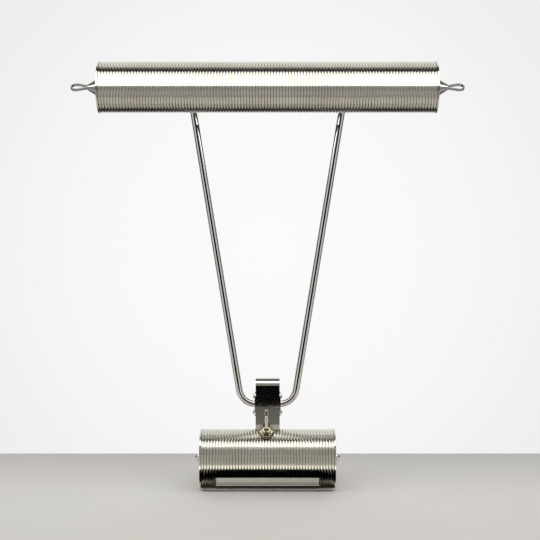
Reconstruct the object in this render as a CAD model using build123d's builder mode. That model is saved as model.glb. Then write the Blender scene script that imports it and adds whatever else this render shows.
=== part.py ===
from build123d import *
from math import cos, radians, sin, sqrt, tan
import os

# A desk lamp of polished metal. A ribbed drum lies on the desk as the base, a folded strap stands on it
# and carries a tilting pair of tubes, and a long ribbed shade turns on pins above them.
# Lengths are millimetres and angles are degrees. X runs along the shade, the front faces minus Y,
# and the origin lies on the desk under the middle of the base.

# Driving dimensions of the whole lamp
base_length = 160.0
base_radius = 34.0
shade_length = 392.0
shade_radius = 30.0
shade_height = 473.0
stem_set_back = 8.0
shade_forward = 20.0
hinge_rise = 29.0

# Clearances and shared small sizes
seat_gap = 0.3
running_gap = 0.05
overrun = 5.0
edge_break = 0.4

# Ribbing, shared by the shade and the base
rib_pitch = 6.8
rib_depth = 1.0
sheet_wall = 1.0

# Felt and foot plate
felt_thickness = 1.0
felt_inset = 3.0
foot_thickness = 2.0
foot_depth = 48.0
foot_corner = 8.0
foot_top = felt_thickness + foot_thickness

# Base drum
drum_sink = 3.0
base_axis_height = foot_top - drum_sink + base_radius
base_wall_radius = base_radius - rib_depth - sheet_wall
base_disc_thickness = 2.0
base_disc_rim = 0.6
base_shell_length = base_length - 2 * base_disc_thickness
base_disc_radius = base_radius + base_disc_rim
drum_top_height = base_axis_height + base_radius

# Pen tray behind the slot in the front of the drum
tray_end_gap = 17.5
tray_length = base_shell_length - 2 * tray_end_gap
tray_floor_height = 9.0
tray_sheet = 1.2
tray_front = 24.0
tray_bead_radius = 1.1
tray_upstand = 9.0
slot_top_height = 20.0
slot_side_gap = 0.5

# Cast ballast
ballast_end_gap = 3.0
ballast_length = base_shell_length - 2 * ballast_end_gap
ballast_top_drop = 24.0
ballast_top_height = drum_top_height - ballast_top_drop
ballast_pocket_height = 15.0
ballast_radius = base_wall_radius - seat_gap

# Tie rod and dome nuts
rod_radius = 2.5
dome_radius = 5.0
dome_collar = 1.5
dome_tuck_angle = 12.0
dome_shoulder_share = 0.7

# Foot screws
foot_screw_end_gap = 14.0
foot_screw_spacing = base_length - 2 * foot_screw_end_gap
foot_screw_radius = 2.0
foot_screw_head_radius = 3.6
foot_screw_head_depth = 1.6
foot_screw_length = 10.0

# Cord inlet bush, at the back of the drum
inlet_bore_radius = 3.2
inlet_neck_radius = 4.8
inlet_flange_radius = 7.0
inlet_flange = 1.6
inlet_x = 0.0
wire_hole_radius = 4.0
wire_hole_y = 14.0
wire_way_radius = 5.6

# Strap that stands on the drum and closes over the hinge
strap_width = 28.5
strap_thickness = 2.0
strap_gap = 16.0
strap_rise = 31.5
strap_foot_drop = 14.0
strap_foot_height = drum_top_height - strap_foot_drop
strap_outer = strap_gap / 2 + strap_thickness

# Block that ties the feet of the strap inside the drum
tie_block_drop = 7.0
tie_block_top = drum_top_height - tie_block_drop
tie_screw_spacing = 21.0
tie_screw_drop = 11.5
tie_screw_height = drum_top_height - tie_screw_drop
tie_screw_radius = 1.5
tie_screw_head_radius = 2.2
tie_screw_head = 1.4
tie_screw_length = 7.0

# Tilting hinge
hinge_height = drum_top_height + hinge_rise
strap_top_height = hinge_height + strap_rise
barrel_radius = 6.0
hinge_block_height = 26.0
hinge_block_length = 28.0
cheek_thickness = 1.2
cheek_height = 30.0
cheek_width = 15.4
cheek_screw_rise = 9.5
cheek_screw_radius = 1.5
cheek_screw_head_radius = 2.6
cheek_screw_head = 2.2
cheek_screw_length = 6.0
tension_screw_radius = 2.0
tension_head_radius = 3.6
tension_head = 2.4
driver_slot_width = 0.9
driver_slot_depth = 0.9

# Stem tubes
tube_radius = 4.0
tube_wall = 1.0
tube_lean = 9.16
tube_bend_radius = 20.0
tube_corner_x = 31.3
tube_engagement = 8.0
tube_hole_gap = 0.7

# Lamp carrier inside the shade
carrier_thickness = 1.6
carrier_height = 18.0
carrier_back = 15.6
tab_reach = 8.0
tab_gap = 2.0
tab_thickness = 2.0
socket_width = 20.0
socket_height = 16.0
socket_depth = 9.4
socket_screw_spacing = 15.2
socket_screw_radius = 1.3
socket_screw_head_radius = 2.2
socket_screw_head_depth = 0.9
socket_screw_length = 6.0
socket_end_wall = 2.0

# Pivot pins and friction washers of the shade
pin_radius = 4.0
pin_reach = 5.0
washer_radius = 9.0

# Tubular lamp and its holders
lamp_end_gap = 41.0
lamp_length = shade_length - 2 * lamp_end_gap
lamp_radius = 12.5
lamp_glass_wall = 0.8
lamp_cap_length = 12.0
lamp_cap_rim = 0.4
filament_radius = 0.5
holder_length = 15.0
holder_half_height = 12.0
holder_corner = 3.0

# Shade
shade_disc_thickness = 2.0
shade_disc_rim = 0.6
shade_arc = 210.0
shade_wall_radius = shade_radius - rib_depth - sheet_wall
shade_shell_length = shade_length - 2 * shade_disc_thickness
shade_disc_radius = shade_radius + shade_disc_rim

# Ring handles at the ends of the shade
cone_base_radius = 12.2
cone_tip_radius = 3.6
cone_length = 13.0
loop_length = 20.0
loop_width = 14.0
loop_strip = 1.5
loop_height = 4.6
loop_tilt = 12.0

# Toggle switch
switch_angle = 24.0
switch_x = -1.5
switch_body_width = 12.0
switch_body_depth = 11.0
switch_body_height = 17.0
switch_body_gap = 1.0
switch_body_top = base_wall_radius - switch_body_gap
switch_body_bottom = switch_body_top - switch_body_height
bush_radius = 5.5
bush_bore_radius = 3.0
bush_reach = 7.0
bush_top = base_radius + bush_reach
bush_hole_gap = 0.2
washer_thickness = 1.0
switch_washer_radius = 8.0
nut_across_flats = 14.0
nut_thickness = 3.2
lever_pivot_rise = 2.0
lever_pivot = base_radius + lever_pivot_rise
lever_length = 22.0
lever_root_radius = 1.4
lever_tip_radius = 2.3
lever_throw = 25.0

# Places worked out from the sizes above
shade_y = stem_set_back - shade_forward
carrier_face_y = shade_y + carrier_back
carrier_front_y = carrier_face_y - carrier_thickness
shade_axis_origin = (0, shade_y, shade_height)
base_axis_origin = (0, 0, base_axis_height)
strap_centre_height = strap_top_height - strap_outer
tie_block_bottom = ballast_top_height
tab_outer_x = shade_shell_length / 2 - tab_gap
strap_front_y = stem_set_back - strap_outer
strap_back_y = stem_set_back + strap_outer
switch_direction = (0, -sin(radians(switch_angle)), cos(radians(switch_angle)))

os.makedirs("parts", exist_ok=True)


def save(builder, label):
    builder.part.label = label
    export_step(builder.part, f"parts/{label}.step")


def across(x):
    # Plane square to X at the given x, with Y across and Z up
    return Plane.YZ.offset(x)


def facing_back(y):
    # Plane square to Y at the given y, whose normal points back, with X across
    return Plane(origin=(0, y, 0), x_dir=(1, 0, 0), z_dir=(0, 1, 0))


def outward(side, x):
    # Plane square to X whose normal points away from the middle of the lamp on the given side
    return Plane(origin=(side * x, 0, 0), x_dir=(0, 1, 0), z_dir=(side, 0, 0))


def at_switch(distance):
    # Plane square to the axis of the switch, at a distance from the axis of the drum
    origin = (switch_x, distance * switch_direction[1], base_axis_height + distance * switch_direction[2])
    return Plane(origin=origin, x_dir=(1, 0, 0), z_dir=switch_direction)


def ribbed_section(length, crest_radius, wall_radius):
    # Half section of a ribbed sheet: pointed crests outside and a plain wall inside
    count = round(length / rib_pitch)
    pitch = length / count
    start = -length / 2
    points = [(start, wall_radius), (start, crest_radius - rib_depth)]
    for index in range(count):
        points.append((start + (index + 0.5) * pitch, crest_radius))
        points.append((start + (index + 1) * pitch, crest_radius - rib_depth))
    points.append((length / 2, wall_radius))
    return points


# Felt pad under the foot
with BuildPart() as felt_pad:
    with BuildSketch(Plane.XY):
        RectangleRounded(base_length - 2 * felt_inset, foot_depth - 2 * felt_inset, foot_corner - felt_inset)
    extrude(amount=felt_thickness)
save(felt_pad, "felt_pad")

# Foot plate with countersunk holes from below
with BuildPart() as foot_plate:
    with BuildSketch(Plane.XY.offset(felt_thickness)):
        RectangleRounded(base_length, foot_depth, foot_corner)
    extrude(amount=foot_thickness)
    chamfer(foot_plate.faces().sort_by(Axis.Z)[-1].edges(), edge_break)
    with BuildSketch(Plane.XY.offset(felt_thickness)):
        with GridLocations(foot_screw_spacing, 0, 2, 1):
            Circle(foot_screw_head_radius)
    extrude(amount=foot_screw_head_depth, mode=Mode.SUBTRACT)
    with BuildSketch(Plane.XY.offset(felt_thickness)):
        with GridLocations(foot_screw_spacing, 0, 2, 1):
            Circle(foot_screw_radius)
    extrude(amount=foot_thickness, mode=Mode.SUBTRACT)
save(foot_plate, "foot_plate")

# Screws that hold the ballast to the foot plate
with BuildPart() as foot_screws:
    with BuildSketch(Plane.XY.offset(felt_thickness)):
        with GridLocations(foot_screw_spacing, 0, 2, 1):
            Circle(foot_screw_head_radius)
    extrude(amount=foot_screw_head_depth)
    with BuildSketch(Plane.XY.offset(felt_thickness)):
        with GridLocations(foot_screw_spacing, 0, 2, 1):
            Circle(foot_screw_radius)
    extrude(amount=foot_screw_length)
save(foot_screws, "foot_screws")

# Cast ballast: a drum segment with a pocket for the pen tray and a hole for the tie rod
with BuildPart() as ballast:
    with BuildSketch(across(-ballast_length / 2)):
        with Locations((0, base_axis_height)):
            Circle(ballast_radius)
        with Locations((0, foot_top)):
            Rectangle(2 * base_radius, 2 * base_radius, align=(Align.CENTER, Align.MAX), mode=Mode.SUBTRACT)
        with Locations((0, ballast_top_height)):
            Rectangle(2 * base_radius, 2 * base_radius, align=(Align.CENTER, Align.MIN), mode=Mode.SUBTRACT)
    extrude(amount=ballast_length)
    with BuildSketch(across(-tray_length / 2 - slot_side_gap)):
        with Locations((0, tray_floor_height)):
            Rectangle(base_radius, ballast_pocket_height, align=(Align.MAX, Align.MIN))
    extrude(amount=tray_length + 2 * slot_side_gap, mode=Mode.SUBTRACT)
    with BuildSketch(across(-ballast_length / 2)):
        with Locations((0, base_axis_height)):
            Circle(rod_radius + seat_gap)
    extrude(amount=ballast_length, mode=Mode.SUBTRACT)
    with BuildSketch(Plane.XY.offset(base_axis_height)):
        with Locations((inlet_x, wire_hole_y)):
            Circle(wire_hole_radius)
    extrude(amount=base_radius, mode=Mode.SUBTRACT)
    with BuildSketch(facing_back(wire_hole_y)):
        with Locations((inlet_x, -base_axis_height)):
            Circle(wire_way_radius)
    extrude(amount=base_radius, mode=Mode.SUBTRACT)
    with BuildSketch(Plane.XY.offset(foot_top)):
        with GridLocations(foot_screw_spacing, 0, 2, 1):
            Circle(foot_screw_radius)
    extrude(amount=foot_screw_length - foot_thickness, mode=Mode.SUBTRACT)
save(ballast, "ballast")

# Ribbed drum, cut flat on the foot, with the pen slot, the strap slots and the holes for switch and cord
with BuildPart() as base_shell:
    with BuildSketch(Plane.XZ):
        with BuildLine():
            section = ribbed_section(base_shell_length, base_radius, base_wall_radius)
            Polyline(*[(x, base_axis_height + r) for x, r in section], close=True)
        make_face()
    revolve(axis=Axis(base_axis_origin, (1, 0, 0)), revolution_arc=360)
    split(bisect_by=Plane.XY.offset(foot_top), keep=Keep.TOP)
    with BuildSketch(across(-tray_length / 2 - slot_side_gap)):
        with Locations((0, tray_floor_height - seat_gap)):
            slot_height = slot_top_height - tray_floor_height + seat_gap
            Rectangle(base_radius + overrun, slot_height, align=(Align.MAX, Align.MIN))
    extrude(amount=tray_length + 2 * slot_side_gap, mode=Mode.SUBTRACT)
    with BuildSketch(Plane.XY.offset(base_axis_height)):
        with Locations((0, stem_set_back)):
            Rectangle(strap_width + 2 * seat_gap, 2 * strap_outer + 2 * seat_gap)
            Rectangle(strap_width + 2 * seat_gap, strap_gap - 2 * seat_gap, mode=Mode.SUBTRACT)
    extrude(amount=base_radius + overrun, mode=Mode.SUBTRACT)
    with BuildSketch(at_switch(switch_body_top)):
        Circle(bush_radius + bush_hole_gap)
    extrude(amount=overrun, mode=Mode.SUBTRACT)
    with BuildSketch(facing_back(wire_hole_y)):
        with Locations((inlet_x, -base_axis_height)):
            Circle(inlet_neck_radius + seat_gap)
    extrude(amount=base_radius, mode=Mode.SUBTRACT)
save(base_shell, "base_shell")

# End discs of the drum, cut flat on the foot
for side, name in ((-1, "base_end_left"), (1, "base_end_right")):
    with BuildPart() as base_end:
        with BuildSketch(outward(side, base_shell_length / 2)):
            with Locations((0, side * base_axis_height)):
                Circle(base_disc_radius)
                Circle(rod_radius + running_gap, mode=Mode.SUBTRACT)
        extrude(amount=base_disc_thickness)
        fillet(base_end.edges().filter_by(GeomType.CIRCLE).group_by(SortBy.RADIUS)[-1], edge_break)
        split(bisect_by=Plane.XY.offset(foot_top), keep=Keep.TOP)
    save(base_end, name)

# Rod that ties the end discs together
with BuildPart() as tie_rod:
    with BuildSketch(across(-base_length / 2 - dome_collar)):
        with Locations((0, base_axis_height)):
            Circle(rod_radius)
    extrude(amount=base_length + 2 * dome_collar)
save(tie_rod, "tie_rod")

# Dome nuts on the ends of the rod
with BuildPart() as dome_nuts:
    for side in (-1, 1):
        with BuildSketch(Plane.XZ):
            with BuildLine():
                inner = side * base_length / 2
                collar = inner + side * dome_collar
                tip = collar + side * dome_radius * cos(radians(dome_tuck_angle))
                Line((inner, base_axis_height + rod_radius), (inner, base_axis_height + dome_radius))
                Line((inner, base_axis_height + dome_radius), (collar, base_axis_height + dome_radius))
                shoulder_x = collar + (tip - collar) * dome_shoulder_share
                Spline(
                    (collar, base_axis_height + dome_radius),
                    (shoulder_x, base_axis_height + dome_radius * dome_shoulder_share),
                    (tip, base_axis_height),
                    tangents=[(side, 0), (0, -1)],
                )
                Line((tip, base_axis_height), (collar, base_axis_height))
                Line((collar, base_axis_height), (collar, base_axis_height + rod_radius))
                Line((collar, base_axis_height + rod_radius), (inner, base_axis_height + rod_radius))
            make_face()
        revolve(axis=Axis(base_axis_origin, (1, 0, 0)), revolution_arc=360)
save(dome_nuts, "dome_nuts")

# Pen tray: a folded sheet with a rolled front edge, lying in the pocket of the ballast
with BuildPart() as pen_tray:
    with BuildSketch(across(-tray_length / 2)):
        with Locations((0, tray_floor_height)):
            Rectangle(tray_front, tray_sheet, align=(Align.MAX, Align.MIN))
            Rectangle(tray_sheet, tray_upstand, align=(Align.MAX, Align.MIN))
        with Locations((-tray_front, tray_floor_height + tray_bead_radius)):
            Circle(tray_bead_radius)
    extrude(amount=tray_length)
save(pen_tray, "pen_tray")

# Cord inlet bush in the back of the drum
with BuildPart() as inlet_bush:
    with BuildSketch(facing_back(base_radius)):
        with Locations((inlet_x, -base_axis_height)):
            Circle(inlet_flange_radius)
    extrude(amount=inlet_flange)
    fillet(inlet_bush.faces().sort_by(Axis.Y)[-1].edges(), edge_break)
    with BuildSketch(facing_back(wire_hole_y + inlet_flange_radius)):
        with Locations((inlet_x, -base_axis_height)):
            Circle(inlet_neck_radius)
    extrude(until=Until.NEXT)
    with BuildSketch(facing_back(wire_hole_y)):
        with Locations((inlet_x, -base_axis_height)):
            Circle(inlet_bore_radius)
    extrude(amount=2 * base_radius, mode=Mode.SUBTRACT)
save(inlet_bush, "inlet_bush")

# Folded strap: two leaves joined by a rounded top, their feet inside the drum
with BuildPart() as stem_strap:
    with BuildSketch(across(-strap_width / 2)):
        with BuildLine():
            outer_front = (strap_front_y, strap_foot_height)
            outer_front_top = (strap_front_y, strap_centre_height)
            outer_top = (stem_set_back, strap_top_height)
            outer_back_top = (strap_back_y, strap_centre_height)
            Line(outer_front, outer_front_top)
            ThreePointArc(outer_front_top, outer_top, outer_back_top)
            Line(outer_back_top, (strap_back_y, strap_foot_height))
            Line((strap_back_y, strap_foot_height), (strap_back_y - strap_thickness, strap_foot_height))
            inner_back_top = (strap_back_y - strap_thickness, strap_centre_height)
            inner_top = (stem_set_back, strap_top_height - strap_thickness)
            inner_front_top = (strap_front_y + strap_thickness, strap_centre_height)
            Line((strap_back_y - strap_thickness, strap_foot_height), inner_back_top)
            ThreePointArc(inner_back_top, inner_top, inner_front_top)
            Line(inner_front_top, (strap_front_y + strap_thickness, strap_foot_height))
            Line((strap_front_y + strap_thickness, strap_foot_height), outer_front)
        make_face()
    extrude(amount=strap_width)
    with BuildSketch(facing_back(strap_front_y)):
        with Locations((0, -tie_screw_height)):
            with GridLocations(tie_screw_spacing, 0, 2, 1):
                Circle(tie_screw_radius)
    extrude(amount=2 * strap_outer, mode=Mode.SUBTRACT)
    with BuildSketch(facing_back(stem_set_back)):
        with Locations((0, -hinge_height)):
            Circle(tension_screw_radius + running_gap)
    extrude(amount=strap_outer, mode=Mode.SUBTRACT)
save(stem_strap, "stem_strap")

# Block between the feet of the strap, standing on the ballast
with BuildPart() as tie_block:
    with BuildSketch(Plane.XY.offset(tie_block_bottom)):
        with Locations((0, stem_set_back)):
            Rectangle(strap_width, strap_gap)
    extrude(amount=tie_block_top - tie_block_bottom)
    chamfer(tie_block.faces().sort_by(Axis.Z)[-1].edges().filter_by(Axis.X), edge_break)
    with BuildSketch(Plane.XY.offset(tie_block_bottom)):
        with Locations((inlet_x, wire_hole_y)):
            Circle(wire_hole_radius - seat_gap)
    extrude(amount=tie_block_top - tie_block_bottom, mode=Mode.SUBTRACT)
    with BuildSketch(facing_back(stem_set_back - strap_gap / 2)):
        with Locations((0, -tie_screw_height)):
            with GridLocations(tie_screw_spacing, 0, 2, 1):
                Circle(tie_screw_radius)
    extrude(amount=strap_gap, mode=Mode.SUBTRACT)
save(tie_block, "tie_block")

# Cheese head screws through the feet of the strap
with BuildPart() as strap_screws:
    for side in (-1, 1):
        face_y = stem_set_back + side * strap_outer
        screw_plane = Plane(origin=(0, face_y, tie_screw_height), x_dir=(1, 0, 0), z_dir=(0, side, 0))
        with BuildSketch(screw_plane):
            with GridLocations(tie_screw_spacing, 0, 2, 1):
                Circle(tie_screw_head_radius)
        extrude(amount=tie_screw_head)
        with BuildSketch(screw_plane):
            with GridLocations(tie_screw_spacing, 0, 2, 1):
                Circle(tie_screw_radius)
        extrude(amount=-tie_screw_length)
save(strap_screws, "strap_screws")

# Hinge block held between the leaves, bored for the barrel
with BuildPart() as hinge_block:
    with BuildSketch(across(-hinge_block_length / 2)):
        with Locations((stem_set_back, hinge_height)):
            RectangleRounded(strap_gap - 2 * seat_gap, hinge_block_height, edge_break)
            Circle(barrel_radius + running_gap, mode=Mode.SUBTRACT)
    extrude(amount=hinge_block_length)
    with BuildSketch(facing_back(stem_set_back)):
        with Locations((0, -hinge_height)):
            Circle(tension_screw_radius + running_gap)
    extrude(amount=strap_gap, mode=Mode.SUBTRACT)
    for side in (-1, 1):
        with BuildSketch(outward(side, hinge_block_length / 2 - cheek_screw_length)):
            with Locations((stem_set_back, side * (hinge_height - cheek_screw_rise))):
                Circle(cheek_screw_radius)
            with Locations((stem_set_back, side * (hinge_height + cheek_screw_rise))):
                Circle(cheek_screw_radius)
        extrude(amount=cheek_screw_length, mode=Mode.SUBTRACT)
save(hinge_block, "hinge_block")

# Cheek plates that keep the barrel in its block
for side, name in ((-1, "hinge_cheek_left"), (1, "hinge_cheek_right")):
    with BuildPart() as hinge_cheek:
        with BuildSketch(outward(side, strap_width / 2)):
            with Locations((stem_set_back, side * hinge_height)):
                RectangleRounded(cheek_width, cheek_height, cheek_width / 2 - edge_break)
                Circle(tube_radius + tube_hole_gap, mode=Mode.SUBTRACT)
            for rise in (-cheek_screw_rise, cheek_screw_rise):
                with Locations((stem_set_back, side * (hinge_height + rise))):
                    Circle(cheek_screw_radius, mode=Mode.SUBTRACT)
        extrude(amount=cheek_thickness)
    save(hinge_cheek, name)

# Slotted screws of the cheek plates
with BuildPart() as cheek_screws:
    for side in (-1, 1):
        for rise in (-cheek_screw_rise, cheek_screw_rise):
            seat = outward(side, strap_width / 2 + cheek_thickness)
            with BuildSketch(seat):
                with Locations((stem_set_back, side * (hinge_height + rise))):
                    Circle(cheek_screw_head_radius)
            extrude(amount=cheek_screw_head)
            with BuildSketch(seat):
                with Locations((stem_set_back, side * (hinge_height + rise))):
                    Circle(cheek_screw_radius)
            extrude(amount=-cheek_screw_length)
            with BuildSketch(seat.offset(cheek_screw_head - driver_slot_depth)):
                with Locations((stem_set_back, side * (hinge_height + rise))):
                    Rectangle(2 * cheek_screw_head_radius, driver_slot_width)
            extrude(amount=driver_slot_depth, mode=Mode.SUBTRACT)
save(cheek_screws, "cheek_screws")

# Screw that sets the stiffness of the tilt, through the back leaf
with BuildPart() as tension_screw:
    with BuildSketch(facing_back(strap_back_y)):
        with Locations((0, -hinge_height)):
            Circle(tension_head_radius)
    extrude(amount=tension_head)
    fillet(tension_screw.faces().sort_by(Axis.Y)[-1].edges(), edge_break)
    with BuildSketch(facing_back(stem_set_back + barrel_radius + 2 * running_gap)):
        with Locations((0, -hinge_height)):
            Circle(tension_screw_radius)
    extrude(until=Until.NEXT)
    with BuildSketch(facing_back(strap_back_y + tension_head - driver_slot_depth)):
        with Locations((0, -hinge_height)):
            Rectangle(2 * tension_head_radius, driver_slot_width)
    extrude(amount=driver_slot_depth, mode=Mode.SUBTRACT)
save(tension_screw, "tension_screw")

# Hinge barrel with a bore in each end for the stem tubes
barrel_half = hinge_block_length / 2
tube_start_x = barrel_half - tube_engagement
with BuildPart() as hinge_barrel:
    with BuildSketch(across(-barrel_half)):
        with Locations((stem_set_back, hinge_height)):
            Circle(barrel_radius)
    extrude(amount=2 * barrel_half)
    for side in (-1, 1):
        with BuildSketch(outward(side, tube_start_x)):
            with Locations((stem_set_back, side * hinge_height)):
                Circle(tube_radius + running_gap)
        extrude(amount=tube_engagement, mode=Mode.SUBTRACT)
save(hinge_barrel, "hinge_barrel")

# Stem tubes: out of the barrel, round a bend and up to the carrier, leaning apart
tube_top_height = shade_height + socket_height / 2 - socket_end_wall
lean_slope = tan(radians(tube_lean))
tube_top_x = tube_corner_x + (tube_top_height - hinge_height) * lean_slope
socket_x = tube_corner_x + (shade_height - hinge_height) * lean_slope
for side, name in ((-1, "stem_tube_left"), (1, "stem_tube_right")):
    with BuildPart() as stem_tube:
        with BuildLine() as route:
            FilletPolyline(
                (side * (tube_start_x + running_gap), stem_set_back, hinge_height),
                (side * tube_corner_x, stem_set_back, hinge_height),
                (side * tube_top_x, stem_set_back, tube_top_height),
                radius=tube_bend_radius,
            )
        with BuildSketch(outward(side, tube_start_x + running_gap)):
            with Locations((stem_set_back, side * hinge_height)):
                Circle(tube_radius)
                Circle(tube_radius - tube_wall, mode=Mode.SUBTRACT)
        sweep()
    save(stem_tube, name)

# Sockets that take the tops of the tubes
tube_direction = (sin(radians(tube_lean)), 0, cos(radians(tube_lean)))
for side, name in ((-1, "stem_socket_left"), (1, "stem_socket_right")):
    with BuildPart() as stem_socket:
        with BuildSketch(facing_back(carrier_face_y)):
            with Locations((side * socket_x, -shade_height)):
                RectangleRounded(socket_width, socket_height, holder_corner)
        extrude(amount=socket_depth)
        top = (side * tube_top_x, stem_set_back, tube_top_height)
        downward = (-side * tube_direction[0], 0, -tube_direction[2])
        with BuildSketch(Plane(origin=top, x_dir=(0, 1, 0), z_dir=downward)):
            Circle(tube_radius + running_gap)
        extrude(amount=2 * socket_height, mode=Mode.SUBTRACT)
        with BuildSketch(facing_back(carrier_face_y)):
            with Locations((side * socket_x, -shade_height)):
                with GridLocations(socket_screw_spacing, 0, 2, 1):
                    Circle(socket_screw_radius)
        extrude(amount=socket_screw_length - carrier_thickness, mode=Mode.SUBTRACT)
    save(stem_socket, name)

# Lamp carrier: a flat bar with tabs turned forward to the axis of the shade
with BuildPart() as lamp_carrier:
    with BuildSketch(facing_back(carrier_front_y)):
        with Locations((0, -shade_height)):
            Rectangle(2 * tab_outer_x, carrier_height)
    extrude(amount=carrier_thickness)
    for side in (-1, 1):
        with BuildSketch(outward(side, tab_outer_x - tab_thickness)):
            with Locations((shade_y - tab_reach, side * shade_height)):
                Rectangle(carrier_back + tab_reach, carrier_height, align=(Align.MIN, Align.CENTER))
            with Locations((shade_y, side * shade_height)):
                Circle(pin_radius, mode=Mode.SUBTRACT)
        extrude(amount=tab_thickness)
        with BuildSketch(facing_back(carrier_front_y)):
            with Locations((side * socket_x, -shade_height)):
                with GridLocations(socket_screw_spacing, 0, 2, 1):
                    Circle(socket_screw_head_radius)
        extrude(amount=socket_screw_head_depth, mode=Mode.SUBTRACT)
        with BuildSketch(facing_back(carrier_front_y)):
            with Locations((side * socket_x, -shade_height)):
                with GridLocations(socket_screw_spacing, 0, 2, 1):
                    Circle(socket_screw_radius)
        extrude(amount=carrier_thickness, mode=Mode.SUBTRACT)
save(lamp_carrier, "lamp_carrier")

# Flush screws from the carrier into the sockets
with BuildPart() as socket_screws:
    for side in (-1, 1):
        with BuildSketch(facing_back(carrier_front_y)):
            with Locations((side * socket_x, -shade_height)):
                with GridLocations(socket_screw_spacing, 0, 2, 1):
                    Circle(socket_screw_head_radius)
        extrude(amount=socket_screw_head_depth)
        with BuildSketch(facing_back(carrier_front_y)):
            with Locations((side * socket_x, -shade_height)):
                with GridLocations(socket_screw_spacing, 0, 2, 1):
                    Circle(socket_screw_radius)
        extrude(amount=socket_screw_length)
save(socket_screws, "socket_screws")

# Pivot pins in the tabs, and the friction washers on them
shade_inner_x = shade_shell_length / 2
pin_end_x = shade_length / 2 + pin_reach
for side, hand in ((-1, "left"), (1, "right")):
    with BuildPart() as pivot_pin:
        with BuildSketch(outward(side, tab_outer_x - tab_thickness)):
            with Locations((shade_y, side * shade_height)):
                Circle(pin_radius)
        extrude(amount=pin_end_x - tab_outer_x + tab_thickness)
        chamfer(pivot_pin.faces().sort_by(Axis.X)[-1 if side > 0 else 0].edges(), edge_break)
    save(pivot_pin, f"pivot_pin_{hand}")
    with BuildPart() as friction_washer:
        with BuildSketch(outward(side, tab_outer_x)):
            with Locations((shade_y, side * shade_height)):
                Circle(washer_radius)
                Circle(pin_radius + running_gap, mode=Mode.SUBTRACT)
        extrude(amount=tab_gap - seat_gap)
    save(friction_washer, f"friction_washer_{hand}")

# Lamp holders on the carrier
for side, hand in ((-1, "left"), (1, "right")):
    with BuildPart() as lamp_holder:
        with BuildSketch(outward(side, lamp_length / 2 + seat_gap)):
            with Locations((carrier_front_y, side * shade_height)):
                holder_depth = carrier_front_y - shade_y + holder_half_height
                Rectangle(holder_depth, 2 * holder_half_height, align=(Align.MAX, Align.CENTER))
        extrude(amount=holder_length)
        fillet(lamp_holder.edges().filter_by(Axis.X).group_by(Axis.Y)[0], holder_corner)
    save(lamp_holder, f"lamp_holder_{hand}")

# Tubular lamp: glass, metal caps and a long filament
glass_half = lamp_length / 2 - lamp_cap_length
with BuildPart() as lamp_glass:
    with BuildSketch(across(-glass_half)):
        with Locations((shade_y, shade_height)):
            Circle(lamp_radius)
            Circle(lamp_radius - lamp_glass_wall, mode=Mode.SUBTRACT)
    extrude(amount=2 * glass_half)
save(lamp_glass, "lamp_glass")

for side, hand in ((-1, "left"), (1, "right")):
    with BuildPart() as lamp_cap:
        with BuildSketch(outward(side, glass_half)):
            with Locations((shade_y, side * shade_height)):
                Circle(lamp_radius + lamp_cap_rim)
        extrude(amount=lamp_cap_length)
        fillet(lamp_cap.faces().sort_by(Axis.X)[-1 if side > 0 else 0].edges(), lamp_cap_rim)
    save(lamp_cap, f"lamp_cap_{hand}")

with BuildPart() as lamp_filament:
    with BuildSketch(across(-glass_half)):
        with Locations((shade_y, shade_height)):
            Circle(filament_radius)
    extrude(amount=2 * glass_half)
save(lamp_filament, "lamp_filament")

# Ribbed shade: an open trough, closed from its lower edge round the front to past the top
with BuildPart() as shade_shell:
    with BuildSketch(Plane(origin=shade_axis_origin, x_dir=(1, 0, 0), z_dir=(0, 1, 0))):
        with BuildLine():
            Polyline(*ribbed_section(shade_shell_length, shade_radius, shade_wall_radius), close=True)
        make_face()
    revolve(axis=Axis(shade_axis_origin, (-1, 0, 0)), revolution_arc=shade_arc)
save(shade_shell, "shade_shell")

# End discs of the shade
for side, hand in ((-1, "left"), (1, "right")):
    with BuildPart() as shade_end:
        with BuildSketch(outward(side, shade_inner_x)):
            with Locations((shade_y, side * shade_height)):
                Circle(shade_disc_radius)
                Circle(pin_radius + running_gap, mode=Mode.SUBTRACT)
        extrude(amount=shade_disc_thickness)
        fillet(shade_end.edges().filter_by(GeomType.CIRCLE).group_by(SortBy.RADIUS)[-1], edge_break)
    save(shade_end, f"shade_end_{hand}")

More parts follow.
